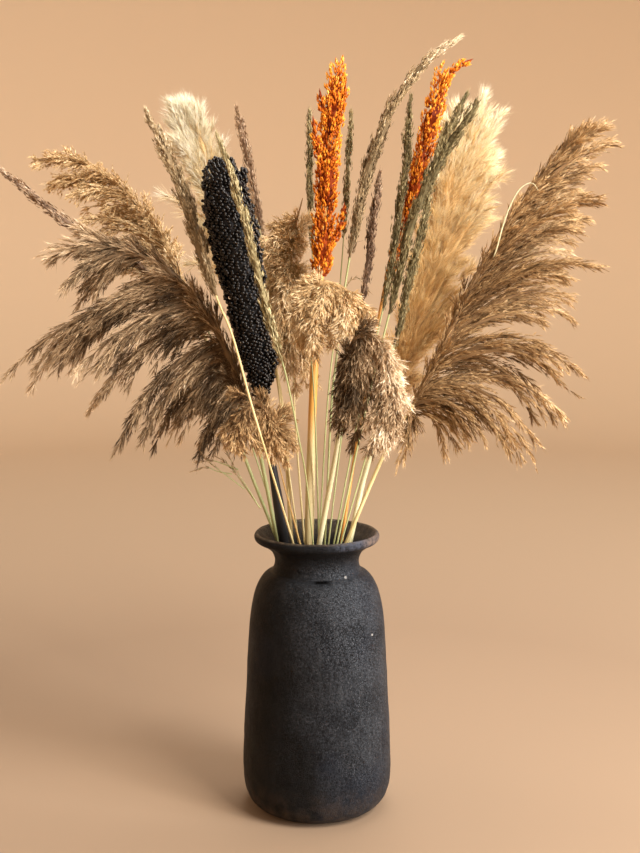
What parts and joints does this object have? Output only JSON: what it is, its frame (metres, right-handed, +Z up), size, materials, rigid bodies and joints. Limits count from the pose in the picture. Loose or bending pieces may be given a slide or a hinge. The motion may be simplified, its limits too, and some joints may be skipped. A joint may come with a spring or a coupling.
{
  "type": "vase of pampas grass",
  "caption": "Dark ceramic vase holding a fan of dried reed and pampas plumes, dyed sorghum heads and meadow grasses; stands on its flat base as a decoration.",
  "frame": {"origin": "centre of the vase's base, on the plane it rests on", "axes": "+Z up, -Y towards the viewer of the front, +X to that viewer's right"},
  "size_m": [0.7597, 0.3048, 0.9725],
  "materials": {
    "charcoal_ceramic": "satin",
    "reed_brown": "matte",
    "reed_grey": "matte",
    "reed_gold": "matte",
    "pampas_cream": "matte",
    "pampas_straw": "matte",
    "dyed_black": "matte",
    "dyed_orange": "matte",
    "grass_green": "matte",
    "grass_mauve": "matte",
    "grass_olive": "matte"
  },
  "bodies": {
    "root": {"vase": "charcoal_ceramic", "reed_right": "reed_brown", "reed_left_low": "reed_grey", "reed_left_high": "reed_gold", "reed_mid_left": "reed_gold", "reed_mid_right": "reed_gold", "reed_front_right": "reed_brown", "reed_front_left": "reed_brown", "pampas_left": "pampas_cream", "pampas_right": "pampas_straw", "sorghum_black": "dyed_black", "sorghum_orange_tall": "dyed_orange", "sorghum_orange_bent": "dyed_orange", "grass_far_left": "grass_mauve", "grass_left": "grass_olive", "grass_over_black": "grass_green", "grass_behind_black": "grass_mauve", "grass_mid_left": "grass_green", "grass_mid_right": "grass_green", "grass_tall_arch": "grass_olive", "grass_right": "grass_green", "grass_short_dark": "grass_mauve", "grass_right_front": "grass_green", "grass_right_low": "grass_green"}
  },
  "joints": []
}
